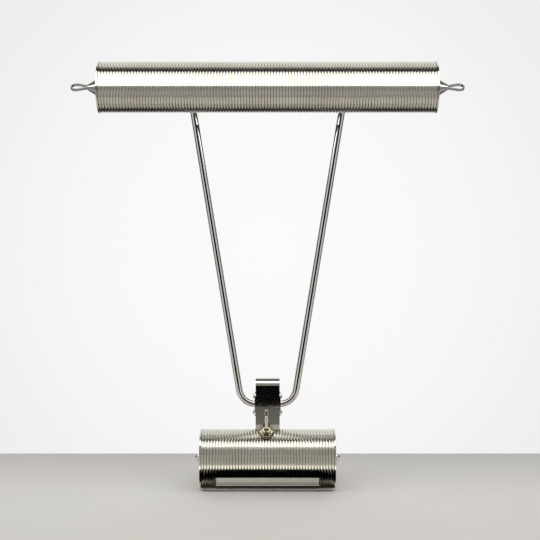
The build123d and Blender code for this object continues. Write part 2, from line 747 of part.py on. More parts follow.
# Conical ferrules and the strip loops that turn the shade
shade_half = shade_length / 2
for side, hand in ((-1, "left"), (1, "right")):
    with BuildPart() as handle_cone:
        with BuildSketch(Plane(origin=shade_axis_origin, x_dir=(side, 0, 0), z_dir=(0, -side, 0))):
            with BuildLine():
                Polyline(
                    (shade_half, pin_radius + seat_gap),
                    (shade_half, cone_base_radius),
                    (shade_half + cone_length, cone_tip_radius),
                    (shade_half + cone_length, 0),
                    (shade_half + pin_reach + seat_gap, 0),
                    (shade_half + pin_reach + seat_gap, pin_radius + seat_gap),
                    close=True,
                )
            make_face()
        revolve(axis=Axis(shade_axis_origin, (1, 0, 0)), revolution_arc=360)
    save(handle_cone, f"handle_cone_{hand}")

    with BuildPart() as handle_loop:
        tilt_normal = (0, -sin(radians(loop_tilt)), cos(radians(loop_tilt)))
        loop_plane = Plane(origin=shade_axis_origin, x_dir=(1, 0, 0), z_dir=tilt_normal)
        with BuildSketch(loop_plane.offset(-loop_height / 2)):
            with BuildLine():
                near_x = side * (shade_half + cone_length)
                arc_x = side * (shade_half + cone_length + loop_length - loop_width / 2)
                far_x = side * (shade_half + cone_length + loop_length)
                Line((near_x, -loop_width / 2), (arc_x, -loop_width / 2))
                ThreePointArc((arc_x, -loop_width / 2), (far_x, 0), (arc_x, loop_width / 2))
                Line((arc_x, loop_width / 2), (near_x, loop_width / 2))
                Line((near_x, loop_width / 2), (near_x, -loop_width / 2))
            make_face()
            offset(amount=-loop_strip, mode=Mode.SUBTRACT)
        extrude(amount=loop_height)
    save(handle_loop, f"handle_loop_{hand}")

# Toggle switch: body under the drum wall, bush, washer, nut and lever
with BuildPart() as switch_body:
    with BuildSketch(at_switch(switch_body_bottom)):
        Rectangle(switch_body_width, switch_body_depth)
    extrude(amount=switch_body_top - switch_body_bottom)
    chamfer(switch_body.edges().group_by(SortBy.LENGTH)[-1], edge_break)
save(switch_body, "switch_body")

with BuildPart() as switch_bush:
    with BuildSketch(at_switch(switch_body_top)):
        Circle(bush_radius)
    extrude(amount=bush_top - switch_body_top)
    chamfer(switch_bush.edges().group_by(SortBy.LENGTH)[-1], edge_break)
    with BuildSketch(at_switch(lever_pivot - bush_bore_radius)):
        Circle(bush_bore_radius + running_gap)
    extrude(amount=bush_top - lever_pivot + bush_bore_radius, mode=Mode.SUBTRACT)
save(switch_bush, "switch_bush")

with BuildPart() as switch_washer:
    with BuildSketch(at_switch(base_radius)):
        Circle(switch_washer_radius)
        Circle(bush_radius + running_gap, mode=Mode.SUBTRACT)
    extrude(amount=washer_thickness)
save(switch_washer, "switch_washer")

with BuildPart() as switch_nut:
    with BuildSketch(at_switch(base_radius + washer_thickness)):
        RegularPolygon(nut_across_flats / 2, 6, major_radius=False)
        Circle(bush_radius + running_gap, mode=Mode.SUBTRACT)
    extrude(amount=nut_thickness)
save(switch_nut, "switch_nut")

lever_angle = switch_angle - lever_throw / 2
pivot_point = (
    switch_x,
    lever_pivot * switch_direction[1],
    base_axis_height + lever_pivot * switch_direction[2],
)
lever_direction = (0, -sin(radians(lever_angle)), cos(radians(lever_angle)))
lever_side = (0, cos(radians(lever_angle)), sin(radians(lever_angle)))
with BuildPart() as toggle_lever:
    with BuildSketch(Plane(origin=pivot_point, x_dir=lever_direction, z_dir=(1, 0, 0))):
        with BuildLine():
            tip_centre = lever_length - lever_tip_radius
            Line((-bush_bore_radius, 0), (lever_length, 0))
            ThreePointArc(
                (-bush_bore_radius, 0),
                (0, bush_bore_radius),
                (sqrt(bush_bore_radius**2 - lever_root_radius**2), lever_root_radius),
            )
            Line(
                (sqrt(bush_bore_radius**2 - lever_root_radius**2), lever_root_radius),
                (tip_centre, lever_tip_radius),
            )
            RadiusArc((tip_centre, lever_tip_radius), (lever_length, 0), lever_tip_radius)
        make_face()
    revolve(axis=Axis(pivot_point, lever_direction), revolution_arc=360)
save(toggle_lever, "toggle_lever")
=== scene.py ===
import math

import bpy
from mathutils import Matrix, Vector


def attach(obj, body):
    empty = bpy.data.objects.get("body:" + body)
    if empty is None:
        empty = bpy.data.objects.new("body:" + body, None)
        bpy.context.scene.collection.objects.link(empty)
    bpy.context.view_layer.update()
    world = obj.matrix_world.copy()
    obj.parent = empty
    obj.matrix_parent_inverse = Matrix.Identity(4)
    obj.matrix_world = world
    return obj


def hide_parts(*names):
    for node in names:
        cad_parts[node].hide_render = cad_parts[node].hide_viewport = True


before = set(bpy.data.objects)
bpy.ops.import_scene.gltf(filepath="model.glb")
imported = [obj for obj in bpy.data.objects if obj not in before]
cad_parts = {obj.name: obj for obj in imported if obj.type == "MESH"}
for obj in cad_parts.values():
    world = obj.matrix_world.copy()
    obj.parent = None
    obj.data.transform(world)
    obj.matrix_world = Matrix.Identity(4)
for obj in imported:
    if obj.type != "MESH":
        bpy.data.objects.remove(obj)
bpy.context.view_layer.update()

# A desk lamp of ribbed and polished metal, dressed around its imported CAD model.
# Everything is in metres. X runs along the shade and the front faces minus Y.
MM = 0.001
RIGHT_ANGLE = math.radians(90)
SHARP_EDGE = math.radians(50)
ROUNDING_SEGMENTS = 3

# Sizes repeated from the CAD source, for the two ribbed sheets. A centre is (y, z).
SHADE_CENTRE = (-12.0 * MM, 473.0 * MM)
SHADE_LENGTH = 388.0 * MM
SHADE_RADIUS = 30.0 * MM
BASE_CENTRE = (0.0, 34.0 * MM)
BASE_LENGTH = 156.0 * MM
BASE_RADIUS = 34.0 * MM
BASE_FOOT = 3.0 * MM

# Ribs of both sheets
SHADE_RIBS = 114
BASE_RIBS = 46
RIB_DEPTH = 1.5 * MM
RIB_STEPS = 6
SHEET_WALL = 0.6 * MM

# Edges of the shade, as angles from the front over the top
SHADE_START = math.radians(-90)
SHADE_END = math.radians(120)
SHADE_STEPS = 60

# Window of the drum and the hole under its inlet bush
WINDOW_HALF = 61.2 * MM
WINDOW_BOTTOM = 5.6 * MM
WINDOW_TOP = 17.4 * MM
INLET_HOLE = 5.6 * MM

# Rows of the drum from its foot up to the window, over the window, to the middle, the back and the foot
BASE_STEPS = (3, 6, 7, 52, 20)

# Ledge behind the window: a rolled lip, a floor, a fold and a back that leans away
LEDGE_HALF = 60.5 * MM
LEDGE_SHEET = 1.0 * MM
LEDGE_FLOOR = 6.6 * MM
LEDGE_LIP = -24.2 * MM
LEDGE_BACK = -18.6 * MM
LEDGE_TOP = 19.0 * MM
LEDGE_LEAN = math.radians(15)
LIP_RADIUS = 0.9 * MM
LIP_END_DEGREES = -90
LIP_TURN_DEGREES = 270
LIP_STEPS = 12
FOLD_RADIUS = 1.6 * MM
FOLD_STEPS = 6

# Strip loops, from the neck at the cone to the far end
LOOP_START = 208.2 * MM
LOOP_END = 229.0 * MM
LOOP_HALF = 7.0 * MM
LOOP_NECK = 1.6 * MM
LOOP_FLARE = 1.5
LOOP_STRIP = 1.5 * MM
LOOP_HEIGHT = 3.2 * MM
LOOP_TILT = math.radians(32)
LOOP_SIDE_DEGREES = 112
LOOP_TURNS = 20
LOOP_ROUNDING = 0.4 * MM
LOOP_CREASE = math.radians(60)

# Table
TABLE_BACK = 152.0 * MM
TABLE_FRONT = -440.0 * MM
TABLE_HALF = 1.6
TABLE_THICKNESS = 30.0 * MM
TABLE_ROUNDING = 1.5 * MM

# Softbox above the front, its two edges as (y, z)
SOFTBOX_LOW = (-0.277, 0.495)
SOFTBOX_HIGH = (-0.085, 0.634)
SOFTBOX_LENGTH = 1.6
SOFTBOX_POWER = 2.8

# Cards that show in the polished metal alone, as painted reflections: a pale glowing band and dark patches
CARD_HALF = 0.1
PALE_CARD_Y = -0.075
PALE_CARD_LOW = 0.0005
PALE_CARD_HIGH = 0.057
PALE_CARD_STRENGTH = 1.4
DARK_CARD_FRONT = -0.0745
DARK_CARD_BACK = -0.0245
DARK_CARD_Z = 0.0005
TOP_CARD_FRONT = -0.02
TOP_CARD_BACK = 0.19
TOP_CARD_Z = 0.43
STRAP_CARD_Y = -0.2
STRAP_CARD_HALF = 0.03
STRAP_CARD_LOW = 0.016
STRAP_CARD_HIGH_LEFT = 0.0535
STRAP_CARD_HIGH_RIGHT = 0.0505

# Camera that matches the photograph, with its focus in pixels of the picture
CAMERA_DISTANCE = 1.399
CAMERA_HEIGHT = 0.400
CAMERA_SIDE = 0.0028
CAMERA_PITCH = math.radians(3.17)
CAMERA_FOCUS = 1188.0
PHOTO_SIDE = 540.0
SENSOR = 36.0
SHIFT_UP = -0.10


# Node helpers


def put(tree, kind, settings=None, values=None):
    """A new node with its settings and the values of its unlinked inputs."""
    node = tree.nodes.new(kind)
    for key, value in (settings or {}).items():
        setattr(node, key, value)
    for key, value in (values or {}).items():
        node.inputs[key].default_value = value
    return node


def join(tree, source, output, target, socket):
    """Link an output of one node to an input of another."""
    tree.links.new(source.outputs[output], target.inputs[socket])


def calculate(tree, operation, *terms):
    """A math node on its terms, each a number or a (node, output) pair."""
    node = put(tree, "ShaderNodeMath", {"operation": operation})
    for socket, term in enumerate(terms):
        if isinstance(term, tuple):
            join(tree, *term, node, socket)
        else:
            node.inputs[socket].default_value = term
    return node


def ramp(tree, source, output, stops):
    """A colour ramp through (place, value) stops, where a value is a grey or a colour."""
    node = tree.nodes.new("ShaderNodeValToRGB")
    elements = node.color_ramp.elements
    new_place = 0.5
    while len(elements) < len(stops):
        elements.new(new_place)
    for element, (place, value) in zip(elements, stops):
        element.position = place
        colour = value if isinstance(value, tuple) else (value, value, value)
        element.color = (*colour, 1.0)
    join(tree, source, output, node, "Fac")
    return node


def spread(tree, texture, least, most):
    """The strength of a noise, spread from least to most."""
    node = put(tree, "ShaderNodeMapRange", values={"To Min": least, "To Max": most})
    join(tree, texture, "Fac", node, "Value")
    return node


def bump(tree, texture, strength, height, below=None):
    """Relief from a noise, laid on the relief below it where there is one."""
    node = put(tree, "ShaderNodeBump", values={"Strength": strength, "Distance": height})
    join(tree, texture, "Fac", node, "Height")
    if below:
        join(tree, below, "Normal", node, "Normal")
    return node


def mix_colours(tree, factor, first, second):
    """A blend of two fixed colours by a ramp."""
    node = put(tree, "ShaderNodeMix", {"data_type": "RGBA"})
    node.inputs["A"].default_value = (*first, 1.0)
    node.inputs["B"].default_value = (*second, 1.0)
    join(tree, factor, "Color", node, "Factor")
    return node


def multiply_colours(tree, share, first, second):
    """The colour of one node, darkened by a share of another node's."""
    node = put(tree, "ShaderNodeMix", {"data_type": "RGBA", "blend_type": "MULTIPLY"}, {"Factor": share})
    join(tree, first, "Color", node, "A")
    join(tree, second, "Color", node, "B")
    return node


def start_material(name):
    """A fresh node material, its shader and the object coordinates."""
    material = bpy.data.materials.new(name)
    material.use_nodes = True
    tree = material.node_tree
    shader = tree.nodes["Principled BSDF"]
    place = tree.nodes.new("ShaderNodeTexCoord")
    return material, tree, shader, place


def noise(tree, place, scale, stretch=(1, 1, 1), detail=4.0, rough=0.55):
    """Noise on object coordinates, drawn out along the axes by stretch."""
    mapping = put(tree, "ShaderNodeMapping", values={"Scale": stretch})
    join(tree, place, "Object", mapping, "Vector")
    texture = put(tree, "ShaderNodeTexNoise", values={"Scale": scale, "Detail": detail, "Roughness": rough})
    join(tree, mapping, "Vector", texture, "Vector")
    return texture


# Materials

WAVE_HEIGHT = 0.4 * MM
LINE_HEIGHT = 0.02 * MM
TARNISH_STOPS = [(0.35, 0.0), (0.75, 1.0)]
SMUDGE_SHARE = 0.35
SMUDGE_LEAST = 0.02

# How the polishing lines lie, and how strong the relief is
ROUND_LINES = {"scale": 1.0, "stretch": (60, 1400, 1400)}
LONG_LINES = {"scale": 1.0, "stretch": (1400, 300, 60)}
EVEN_LINES = {"scale": 700.0, "stretch": (1, 1, 1)}
MIRROR_RELIEF = {"wave": 0.05, "line": 0.04}
SATIN_RELIEF = {"wave": 0.08, "line": 0.25}
DULL_RELIEF = {"wave": 0.10, "line": 0.5}


def metal(name, colour, tarnish, polish, grain, relief):
    """Metal with cloudy tarnish, fine polishing lines, soft smudges and a faint waviness."""
    material, tree, shader, place = start_material(name)
    shader.inputs["Metallic"].default_value = 1.0
    cloud = noise(tree, place, scale=24.0, detail=6.0)
    tone = mix_colours(tree, ramp(tree, cloud, "Fac", TARNISH_STOPS), colour, tarnish)
    join(tree, tone, "Result", shader, "Base Color")
    lines = noise(tree, place, grain["scale"], grain["stretch"], detail=3.0, rough=0.7)
    smudge = noise(tree, place, scale=70.0, detail=5.0, rough=0.6)
    smooth, rough = polish
    smudge_stops = [(0.5, 0.0), (0.8, SMUDGE_SHARE * (rough - smooth) + SMUDGE_LEAST)]
    line_part = spread(tree, lines, smooth, rough)
    smudge_part = ramp(tree, smudge, "Fac", smudge_stops)
    total = calculate(tree, "ADD", (line_part, "Result"), (smudge_part, "Color"))
    total.use_clamp = True
    join(tree, total, "Value", shader, "Roughness")
    wave = noise(tree, place, scale=45.0, detail=1.0)
    low = bump(tree, wave, relief["wave"], WAVE_HEIGHT)
    high = bump(tree, lines, relief["line"], LINE_HEIGHT, low)
    join(tree, high, "Normal", shader, "Normal")
    return material


def felt_material():
    """Dense dark felt: matted fibres, lighter lint and a soft sheen."""
    material, tree, shader, place = start_material("felt_fibres")
    fibres = noise(tree, place, scale=900.0, stretch=(1, 1, 0.4), detail=6.0, rough=0.75)
    patches = noise(tree, place, scale=60.0, detail=3.0)
    fibre_stops = [(0.3, (0.012, 0.012, 0.011)), (0.62, (0.045, 0.043, 0.04)), (0.8, (0.1, 0.095, 0.09))]
    patch_stops = [(0.3, 0.55), (0.7, 1.0)]
    fibre_tone = ramp(tree, fibres, "Fac", fibre_stops)
    patch_tone = ramp(tree, patches, "Fac", patch_stops)
    tone = multiply_colours(tree, 0.6, fibre_tone, patch_tone)
    join(tree, tone, "Result", shader, "Base Color")
    shader.inputs["Roughness"].default_value = 0.95
    shader.inputs["Sheen Weight"].default_value = 0.5
    nap = bump(tree, fibres, strength=0.9, height=0.3 * MM)
    join(tree, nap, "Normal", shader, "Normal")
    return material


def cast_material():
    """Cast iron as it leaves the sand: dark, grainy, with a thin rusty bloom."""
    material, tree, shader, place = start_material("cast_iron")
    grains = noise(tree, place, scale=420.0, detail=8.0, rough=0.7)
    bloom = noise(tree, place, scale=35.0, detail=5.0)
    bloom_tone = ramp(tree, bloom, "Fac", [(0.5, 0.0), (0.72, 1.0)])
    tone = mix_colours(tree, bloom_tone, (0.06, 0.06, 0.065), (0.1, 0.075, 0.055))
    join(tree, tone, "Result", shader, "Base Color")
    shader.inputs["Metallic"].default_value = 0.4
    join(tree, spread(tree, grains, least=0.55, most=0.85), "Result", shader, "Roughness")
    skin = bump(tree, grains, strength=0.7, height=0.5 * MM)
    join(tree, skin, "Normal", shader, "Normal")
    return material


def moulded_material(name, colour, fleck, polish, relief):
    """Pressed plastic: faint mottling, a satin skin and a very fine orange peel."""
    material, tree, shader, place = start_material(name)
    mottle = noise(tree, place, scale=260.0, detail=7.0, rough=0.65)
    mottle_tone = ramp(tree, mottle, "Fac", [(0.42, 0.0), (0.7, 1.0)])
    tone = mix_colours(tree, mottle_tone, colour, fleck)
    join(tree, tone, "Result", shader, "Base Color")
    handling = noise(tree, place, scale=90.0, detail=4.0)
    join(tree, spread(tree, handling, *polish), "Result", shader, "Roughness")
    peel = noise(tree, place, scale=1100.0, detail=2.0)
    skin = bump(tree, peel, relief, height=0.08 * MM)
    join(tree, skin, "Normal", shader, "Normal")
    return material


def glass_material():
    """Frosted lamp glass: milky, with denser powder in soft clouds."""
    material, tree, shader, place = start_material("frosted_glass")
    powder = noise(tree, place, scale=130.0, stretch=(0.3, 1, 1), detail=5.0)
    tone = ramp(tree, powder, "Fac", [(0.3, (0.93, 0.93, 0.91)), (0.7, (0.98, 0.98, 0.97))])
    join(tree, tone, "Color", shader, "Base Color")
    shader.inputs["Transmission Weight"].default_value = 0.55
    shader.inputs["IOR"].default_value = 1.45
    join(tree, spread(tree, powder, least=0.28, most=0.42), "Result", shader, "Roughness")
    return material


def laminate_material():
    """Matt pale table top with faint clouds and grain, its colour darkening towards its back edge as painted
    shade.
    """
    material, tree, shader, place = start_material("table_laminate")
    cloud = noise(tree, place, scale=3.0, detail=3.0)
    split = tree.nodes.new("ShaderNodeSeparateXYZ")
    join(tree, place, "Object", split, "Vector")
    depth = put(tree, "ShaderNodeMapRange", values={"From Min": TABLE_FRONT, "From Max": TABLE_BACK})
    join(tree, split, "Y", depth, "Value")
    # Painted shade: lightest at the front edge and darker towards the back, where less light falls
    painted_falloff_stops = [(0.0, (0.93, 0.905, 0.87)), (0.7, (0.86, 0.835, 0.805)), (1.0, (0.75, 0.73, 0.705))]
    painted_falloff = ramp(tree, depth, "Result", painted_falloff_stops)
    tone = multiply_colours(tree, 0.08, painted_falloff, cloud)
    join(tree, tone, "Result", shader, "Base Color")
    grain = noise(tree, place, scale=900.0, detail=2.0)
    skin = bump(tree, grain, strength=0.1, height=0.05 * MM)
    join(tree, skin, "Normal", shader, "Normal")
    shader.inputs["Roughness"].default_value = 0.8
    shader.inputs["Specular IOR Level"].default_value = 0.0
    return material


# The material of each slot, or of one node by its name where that differs from its slot
materials = {
    "ribbed_metal": metal(
        "ribbed_nickel", (0.72, 0.70, 0.635), (0.63, 0.605, 0.53), (0.07, 0.15), ROUND_LINES, SATIN_RELIEF
    ),
    "polished_metal": metal(
        "mirror_nickel", (0.80, 0.785, 0.75), (0.72, 0.70, 0.655), (0.025, 0.06), LONG_LINES, MIRROR_RELIEF
    ),
    # The loops are the polished nickel, its colour darkened as painted shade for the dark they reflect
    "loop_metal": metal(
        "nickel_darkened_as_shade", (0.40, 0.39, 0.365), (0.33, 0.315, 0.29), (0.03, 0.08), LONG_LINES, MIRROR_RELIEF
    ),
    # Brass of its own browner tone, made darker still as painted shade for the dark that the switch nut
    # reflects
    "switch_brass": metal(
        "brown_brass_darkened_as_shade", (0.50, 0.45, 0.36), (0.33, 0.28, 0.20), (0.09, 0.2), EVEN_LINES, SATIN_RELIEF
    ),
    "toggle_lever": metal(
        "nickelled_lever", (0.78, 0.76, 0.68), (0.66, 0.61, 0.48), (0.06, 0.14), EVEN_LINES, MIRROR_RELIEF
    ),
    "lamp_cap_metal": metal(
        "satin_aluminium", (0.78, 0.78, 0.785), (0.68, 0.68, 0.68), (0.24, 0.38), ROUND_LINES, SATIN_RELIEF
    ),
    "foot_plate": metal(
        "brushed_foot", (0.80, 0.785, 0.75), (0.72, 0.70, 0.655), (0.32, 0.45), LONG_LINES, SATIN_RELIEF
    ),
    "plain_steel": metal(
        "zinc_steel", (0.58, 0.58, 0.575), (0.46, 0.455, 0.43), (0.26, 0.44), EVEN_LINES, DULL_RELIEF
    ),
    "felt": felt_material(),
    "ballast_iron": cast_material(),
    "black_plastic": moulded_material(
        "black_moulding", (0.012, 0.011, 0.010), (0.03, 0.026, 0.022), polish=(0.22, 0.38), relief=0.2
    ),
    "holder_plastic": moulded_material(
        "cream_moulding", (0.74, 0.72, 0.66), (0.66, 0.63, 0.56), polish=(0.2, 0.34), relief=0.15
    ),
    "lamp_glass": glass_material(),
}

for node_name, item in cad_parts.items():
    for slot in item.material_slots:
        slot_name = slot.material.name.split(".")[0]
        slot.material = materials.get(node_name, materials[slot_name])


# Piece helpers


def new_object(name, data):
    """A new object of the scene around its mesh, light or camera."""
    item = bpy.data.objects.new(name, data)
    bpy.context.scene.collection.objects.link(item)
    return item


def add_piece(name, points, faces, material):
    """A new object with a mesh of these points and faces."""
    mesh = bpy.data.meshes.new(name)
    mesh.from_pydata(points, [], faces)
    mesh.materials.append(material)
    return new_object(name, mesh)


def smooth_between_edges(mesh):
    """Shade a mesh smoothly between its sharp edges."""
    mesh.shade_smooth()
    mesh.set_sharp_from_angle(angle=SHARP_EDGE)


def round_edges(piece, width):
    """Add a bevel that rounds the sharp edges of a piece."""
    rounding = piece.modifiers.new("rounding", "BEVEL")
    rounding.width = width
    rounding.segments = ROUNDING_SEGMENTS
    return rounding


def settle(piece):
    """Apply the modifiers, then shade smoothly between the sharp edges."""
    graph = bpy.context.evaluated_depsgraph_get()
    mesh = bpy.data.meshes.new_from_object(piece.evaluated_get(graph))
    piece.modifiers.clear()
    piece.data = mesh
    smooth_between_edges(mesh)


# Ribbed sheets

# Corners of a cell as steps in (row, column), and its sides as two corners and the way to the next cell
CELL_CORNERS = ((0, 0), (0, 1), (1, 1), (1, 0))
CELL_SIDES = (
    ((0, 0), (0, 1), (-1, 0)),
    ((0, 1), (1, 1), (0, 1)),
    ((1, 1), (1, 0), (1, 0)),
    ((1, 0), (0, 0), (0, -1)),
)


def rib_columns(length, ribs):
    """(x, rise) along a ribbed sheet: half round crests that meet in sharp valleys."""
    pitch = length / ribs
    columns = []
    for rib in range(ribs):
        middle = (rib + 0.5) * pitch - length / 2
        for step in range(RIB_STEPS):
            turn = math.pi * step / RIB_STEPS
            columns.append((middle - pitch / 2 * math.cos(turn), RIB_DEPTH * math.sin(turn)))
    columns.append((length / 2, 0.0))
    return columns


def fixed(angle):
    """An edge at the same angle at every radius."""
    return lambda reach: angle


def drum_edge(height, in_front=True):
    """An edge of the drum at one height, on its front or its back."""

    def angle(reach):
        lean = math.asin(max(-1.0, min(1.0, (height - BASE_CENTRE[1]) / reach)))
        return lean if in_front else math.pi - lean

    return angle


def between(first, last, steps):
    """Rows from one edge up to the next, each a function that gives its angle at a radius."""

    def row(share):
        return lambda reach: first(reach) * (1 - share) + last(reach) * share

    return [row(step / steps) for step in range(steps)]


def sheet_points(columns, rows, radius, centre):
    """The points of the outer face, row by row, and then those of the inner face."""
    points = []
    for depth in (0.0, SHEET_WALL):
        for row in rows:
            for x, rise in columns:
                reach = radius - RIB_DEPTH + rise - depth
                angle = row(reach)
                points.append((x, centre[0] - reach * math.cos(angle), centre[1] + reach * math.sin(angle)))
    return points


def ribbed_sheet(name, columns, rows, radius, centre, is_open=None):
    """A ribbed sheet round an axis along X, with real thickness, and closed at every edge.

    Where is_open is given, it says of each place whether the sheet has a hole there.
    """
    points = sheet_points(columns, rows, radius, centre)
    wide = len(columns)
    inner = wide * len(rows)
    kept = set()
    for i in range(len(rows) - 1):
        for j in range(wide - 1):
            corner = Vector(points[i * wide + j])
            opposite = Vector(points[(i + 1) * wide + j + 1])
            if not (is_open and is_open((corner + opposite) / 2)):
                kept.add((i, j))
    faces = []
    for i, j in sorted(kept):
        outer = [(i + down) * wide + j + along for down, along in CELL_CORNERS]
        faces.append(outer)
        faces.append([inner + v for v in reversed(outer)])
        for start, end, step in CELL_SIDES:
            if (i + step[0], j + step[1]) in kept:
                continue
            first = (i + start[0]) * wide + j + start[1]
            second = (i + end[0]) * wide + j + end[1]
            faces.append([second, first, inner + first, inner + second])
    sheet = add_piece(name, points, faces, materials["ribbed_metal"])
    smooth_between_edges(sheet.data)
    return sheet


def drum_opening(point):
    """Whether a place on the drum is in its window or under the inlet bush."""
    in_front = point.y < 0
    in_window = in_front and abs(point.x) < WINDOW_HALF and WINDOW_BOTTOM < point.z < WINDOW_TOP
    by_inlet = point.y > 0 and math.hypot(point.x, point.z - BASE_CENTRE[1]) < INLET_HOLE
    return in_window or by_inlet


shade_columns = rib_columns(SHADE_LENGTH, SHADE_RIBS)
shade_rows = between(fixed(SHADE_START), fixed(SHADE_END), SHADE_STEPS) + [fixed(SHADE_END)]
shade_sheet = ribbed_sheet("shade_sheet", shade_columns, shade_rows, SHADE_RADIUS, SHADE_CENTRE)
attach(shade_sheet, "shade")
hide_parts("shade_shell")

base_columns = rib_columns(BASE_LENGTH, BASE_RIBS)
base_edges = [
    drum_edge(BASE_FOOT),
    drum_edge(WINDOW_BOTTOM),
    drum_edge(WINDOW_TOP),
    fixed(0.0),
    fixed(math.pi),
    drum_edge(BASE_FOOT, in_front=False),
]
base_rows = []
for first, last, steps in zip(base_edges, base_edges[1:], BASE_STEPS):
    base_rows += between(first, last, steps)
base_rows.append(base_edges[-1])
base_sheet = ribbed_sheet("base_sheet", base_columns, base_rows, BASE_RADIUS, BASE_CENTRE, drum_opening)
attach(base_sheet, "base")
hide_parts("base_shell")


# Pen ledge behind the window of the drum


def swept_sheet(name, outline, half_length, thickness):
    """A folded sheet along X, from its outline of (y, z) points, with an even thickness."""
    points = [(x, y, z) for x in (-half_length, half_length) for y, z in outline]
    count = len(outline)
    faces = [(i, i + 1, count + i + 1, count + i) for i in range(count - 1)]
    sheet = add_piece(name, points, faces, materials["polished_metal"])
    solid = sheet.modifiers.new("wall", "SOLIDIFY")
    solid.thickness = thickness
    solid.offset = 0.0
    settle(sheet)
    return sheet


def ledge_outline():
    """Rolled lip, flat floor, round fold and a back that leans away from the window."""
    points = []
    for step in range(LIP_STEPS + 1):
        turn = math.radians(LIP_END_DEGREES - LIP_TURN_DEGREES * (1 - step / LIP_STEPS))
        lip_y = LEDGE_LIP + LIP_RADIUS * math.cos(turn)
        lip_z = LEDGE_FLOOR + LIP_RADIUS * (1 + math.sin(turn))
        points.append((lip_y, lip_z))
    for step in range(FOLD_STEPS + 1):
        turn = (RIGHT_ANGLE - LEDGE_LEAN) * step / FOLD_STEPS
        fold_y = LEDGE_BACK - FOLD_RADIUS * (1 - math.sin(turn))
        fold_z = LEDGE_FLOOR + FOLD_RADIUS * (1 - math.cos(turn))
        points.append((fold_y, fold_z))
    points.append((fold_y + (LEDGE_TOP - fold_z) * math.tan(LEDGE_LEAN), LEDGE_TOP))
    return points


ledge = swept_sheet("pen_ledge", ledge_outline(), LEDGE_HALF, LEDGE_SHEET)
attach(ledge, "base")
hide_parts("pen_tray")


# Strip loops at the ends of the shade

# Corners of the strip's section as (across, up)
STRIP_CORNERS = ((-1, -1), (1, -1), (1, 1), (-1, 1))


def loop_path():
    """Centre line of the strip as (outward, across): from the neck round the far end and back."""
    reach = LOOP_HALF - LOOP_STRIP / 2
    middle = LOOP_END - LOOP_STRIP / 2 - reach
    neck = [(LOOP_START, LOOP_NECK), (LOOP_START + LOOP_NECK, LOOP_NECK * LOOP_FLARE)]
    bow = []
    for step in range(LOOP_TURNS + 1):
        turn = math.radians(LOOP_SIDE_DEGREES - 2 * LOOP_SIDE_DEGREES * step / LOOP_TURNS)
        bow.append((middle + reach * math.cos(turn), reach * math.sin(turn)))
    return neck + bow + [(x, -across) for x, across in reversed(neck)]


def loop_points(path, side):
    """The four corners of the strip at each point of its path, on one side of the shade."""
    points = []
    for index, (out, across) in enumerate(path):
        before = path[max(index - 1, 0)]
        after = path[min(index + 1, len(path) - 1)]
        along = Vector((after[0] - before[0], after[1] - before[1])).normalized()
        normal = Vector((-along.y, along.x)) * LOOP_STRIP / 2
        for edge, rise in STRIP_CORNERS:
            x = out + edge * normal.x
            y = across + edge * normal.y
            z = rise * LOOP_HEIGHT / 2
            tilted_y = SHADE_CENTRE[0] + y * math.cos(LOOP_TILT) - z * math.sin(LOOP_TILT)
            tilted_z = SHADE_CENTRE[1] + y * math.sin(LOOP_TILT) + z * math.cos(LOOP_TILT)
            points.append((side * x, tilted_y, tilted_z))
    return points


def loop_faces(rings, side):
    """The faces between the rings of four corners and over both ends, turned outwards."""
    corners = len(STRIP_CORNERS)
    faces = []
    for ring in range(rings - 1):
        for corner in range(corners):
            first = ring * corners + corner
            second = ring * corners + (corner + 1) % corners
            faces.append((first, second, second + corners, first + corners))
    last = (rings - 1) * corners
    faces += [(3, 2, 1, 0), (last, last + 1, last + 2, last + 3)]
    return faces if side < 0 else [face[::-1] for face in faces]


def strip_loop(name, side):
    """A loop of bent strip on a cone of the shade, its far side higher."""
    path = loop_path()
    loop = add_piece(name, loop_points(path, side), loop_faces(len(path), side), materials["loop_metal"])
    rounding = round_edges(loop, LOOP_ROUNDING)
    rounding.angle_limit = LOOP_CREASE
    settle(loop)
    return loop


for side, hand in ((-1, "left"), (1, "right")):
    loop = strip_loop(f"strip_loop_{hand}", side)
    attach(loop, "shade")
    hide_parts(f"handle_loop_{hand}")


# Table


def table_top():
    """A pale table slab with a softly rounded edge all round."""
    outline = (
        (-TABLE_HALF, TABLE_FRONT),
        (TABLE_HALF, TABLE_FRONT),
        (TABLE_HALF, TABLE_BACK),
        (-TABLE_HALF, TABLE_BACK),
    )
    points = [(x, y, z) for z in (-TABLE_THICKNESS, 0.0) for x, y in outline]
    faces = [(3, 2, 1, 0), (4, 5, 6, 7), (0, 1, 5, 4), (1, 2, 6, 5), (2, 3, 7, 6), (3, 0, 4, 7)]
    table = add_piece("table_top", points, faces, laminate_material())
    round_edges(table, TABLE_ROUNDING)


table_top()


# Light

HALF_TURN = 180
WHOLE_TURN = 360

# Tones of the room by the angle round the X axis, from the front over the top, in degrees
WALL_ZONES = (
    (-180, 0.95), (-158, 0.9), (-150, 0.05), (-100, 0.05), (-60, 0.24), (-20, (0.24, 0.235, 0.205)),
    (-17, 0.004), (15, 0.004), (18, (0.34, 0.33, 0.30)), (27, (0.23, 0.225, 0.20)),
    (40, (0.30, 0.295, 0.265)), (52, (0.37, 0.36, 0.33)), (57, 0.03),
    (98, 0.03), (104, 0.80), (140, 0.93), (180, 0.95),
)

# Tones of the side walls by the angle from the front to the back, in degrees
SIDE_ZONES = ((0, 0.6), (24, 0.72), (64, 0.66), (78, 0.2), (110, 0.12), (155, 0.15), (174, 0.5), (180, 0.95))

# The backdrop is brightest in the direction of its middle, and fades with the distance from it
BACKDROP_MIDDLE = (0.0, 1.0, -0.08)
BACKDROP_STOPS = [(0.0, (0.97, 0.965, 0.975)), (0.13, (0.945, 0.94, 0.95)), (0.36, (0.82, 0.81, 0.815))]

# How far sideways a direction points where the side walls begin and are full, near and above the level
ASIDE = (0.43, 0.54)
FAR_ASIDE = (0.56, 0.68)
LEVEL = (0.2, 0.45)


